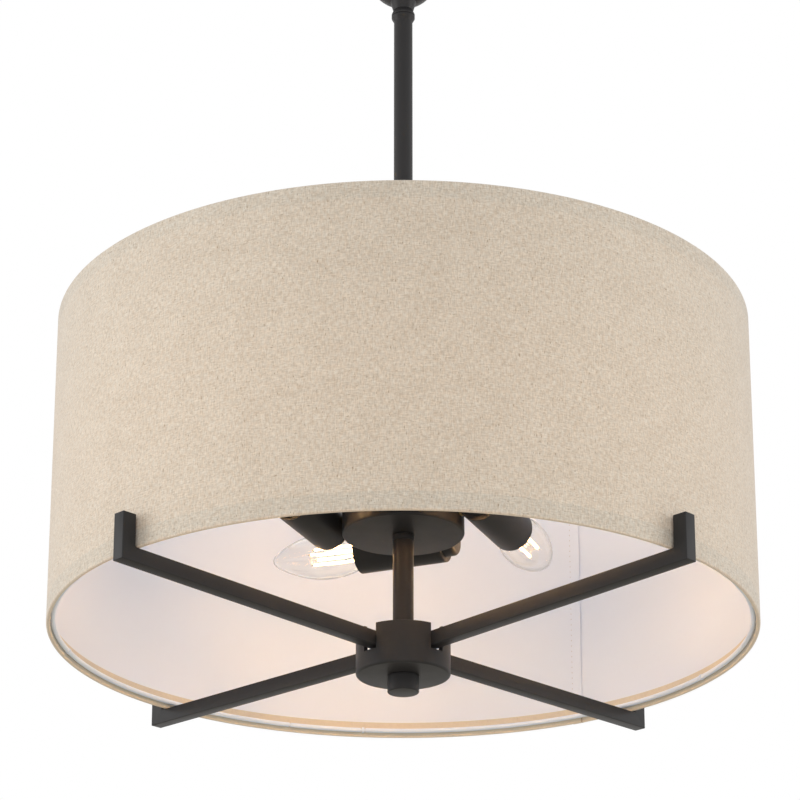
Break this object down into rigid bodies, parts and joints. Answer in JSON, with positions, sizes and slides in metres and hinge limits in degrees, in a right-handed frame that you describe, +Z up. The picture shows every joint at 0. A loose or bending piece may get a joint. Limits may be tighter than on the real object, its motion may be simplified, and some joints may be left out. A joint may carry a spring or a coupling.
{
  "type": "drum chandelier",
  "caption": "Ceiling-hung drum chandelier: a linen drum shade stands on a cross of square bars below a pinwheel cluster of candle-bulb sockets, on a rod with a hang-straight swivel.",
  "frame": {"origin": "middle of the crossbar's top face, where it lies on the ceiling", "axes": "+Z up into the ceiling; the arms of the cross point at 45 degrees between +X and +Y"},
  "size_m": [0.508, 0.508, 0.6121],
  "materials": {
    "dark_bronze": "dark bronze powder coat, satin",
    "zinc": "zinc plated",
    "green_zinc": "green",
    "brass": "plain, slightly dull",
    "nylon": "natural nylon",
    "lead_sleeve": "light insulating sleeve",
    "phenolic": "black phenolic",
    "clear_glass": "clear",
    "filament": "coated LED filament",
    "linen": "slubbed linen weave, flaxen",
    "liner": "smooth white liner",
    "ring_wire": "white painted wire"
  },
  "bodies": {
    "ceiling_fitting": {"ceiling_crossbar": "zinc", "ground_screw": "green_zinc", "canopy_stud_left": "zinc", "canopy_stud_right": "zinc", "canopy_cap_nut_left": "dark_bronze", "canopy_cap_nut_right": "dark_bronze", "canopy": "dark_bronze", "swivel_housing": "dark_bronze"},
    "swivel_seat": {"swivel_seat_ring": "nylon"},
    "fixture": {"swivel_ball": "dark_bronze", "ball_locknut": "zinc", "rod_collar": "dark_bronze", "downrod": "dark_bronze", "supply_lead": "lead_sleeve", "rod_locknut": "zinc", "cluster_cover": "dark_bronze", "cluster_pan": "dark_bronze", "cover_screw_1": "dark_bronze", "cover_screw_2": "dark_bronze", "socket_cover_1": "dark_bronze", "socket_cover_2": "dark_bronze", "socket_cover_3": "dark_bronze", "socket_cover_4": "dark_bronze", "socket_nipple_1": "brass", "socket_nipple_2": "brass", "socket_nipple_3": "brass", "socket_nipple_4": "brass", "lampholder_1": "phenolic", "lampholder_2": "phenolic", "lampholder_3": "phenolic", "lampholder_4": "phenolic", "tie_rod": "zinc", "tie_rod_nut": "zinc", "stem_collar": "dark_bronze", "stem_tube": "dark_bronze", "clamp_plate": "dark_bronze", "hub_core": "dark_bronze", "hub_cup": "dark_bronze", "cross_arm_1": "dark_bronze", "cross_arm_2": "dark_bronze", "cross_arm_3": "dark_bronze", "cross_arm_4": "dark_bronze"},
    "finial": {"finial": "dark_bronze"},
    "shade": {"shade_fabric": "linen", "shade_liner": "liner", "shade_ring_top": "ring_wire", "shade_ring_bottom": "ring_wire"},
    "bulb_1": {"bulb_base_1": "brass", "bulb_glass_1": "clear_glass", "bulb_filament_1": "filament"},
    "bulb_2": {"bulb_base_2": "brass", "bulb_glass_2": "clear_glass", "bulb_filament_2": "filament"},
    "bulb_3": {"bulb_base_3": "brass", "bulb_glass_3": "clear_glass", "bulb_filament_3": "filament"},
    "bulb_4": {"bulb_base_4": "brass", "bulb_glass_4": "clear_glass", "bulb_filament_4": "filament"}
  },
  "joints": [
    {"name": "swivel_turn", "type": "hinge", "parent": "ceiling_fitting", "child": "swivel_seat", "pos_m": [0, 0, -0.0297], "axis": [0, 0, 1], "range_deg": [-180, 180]},
    {"name": "swivel_tilt", "type": "hinge", "parent": "swivel_seat", "child": "fixture", "pos_m": [0, 0, -0.0297], "axis": [1, 0, 0], "range_deg": [-25, 25]},
    {"name": "shade_lift", "type": "slide", "parent": "fixture", "child": "shade", "axis": [0, 0, 1], "range_m": [0, 0.12]},
    {"name": "finial_unscrew", "type": "slide", "parent": "fixture", "child": "finial", "axis": [0, 0, -1], "range_m": [0, 0.01]},
    {"name": "bulb_1_unscrew", "type": "slide", "parent": "fixture", "child": "bulb_1", "axis": [0.3827, 0.9239, 0], "range_m": [0, 0.025]},
    {"name": "bulb_2_unscrew", "type": "slide", "parent": "fixture", "child": "bulb_2", "axis": [-0.9239, 0.3827, 0], "range_m": [0, 0.025]},
    {"name": "bulb_3_unscrew", "type": "slide", "parent": "fixture", "child": "bulb_3", "axis": [-0.3827, -0.9239, 0], "range_m": [0, 0.025]},
    {"name": "bulb_4_unscrew", "type": "slide", "parent": "fixture", "child": "bulb_4", "axis": [0.9239, -0.3827, 0], "range_m": [0, 0.025]}
  ]
}
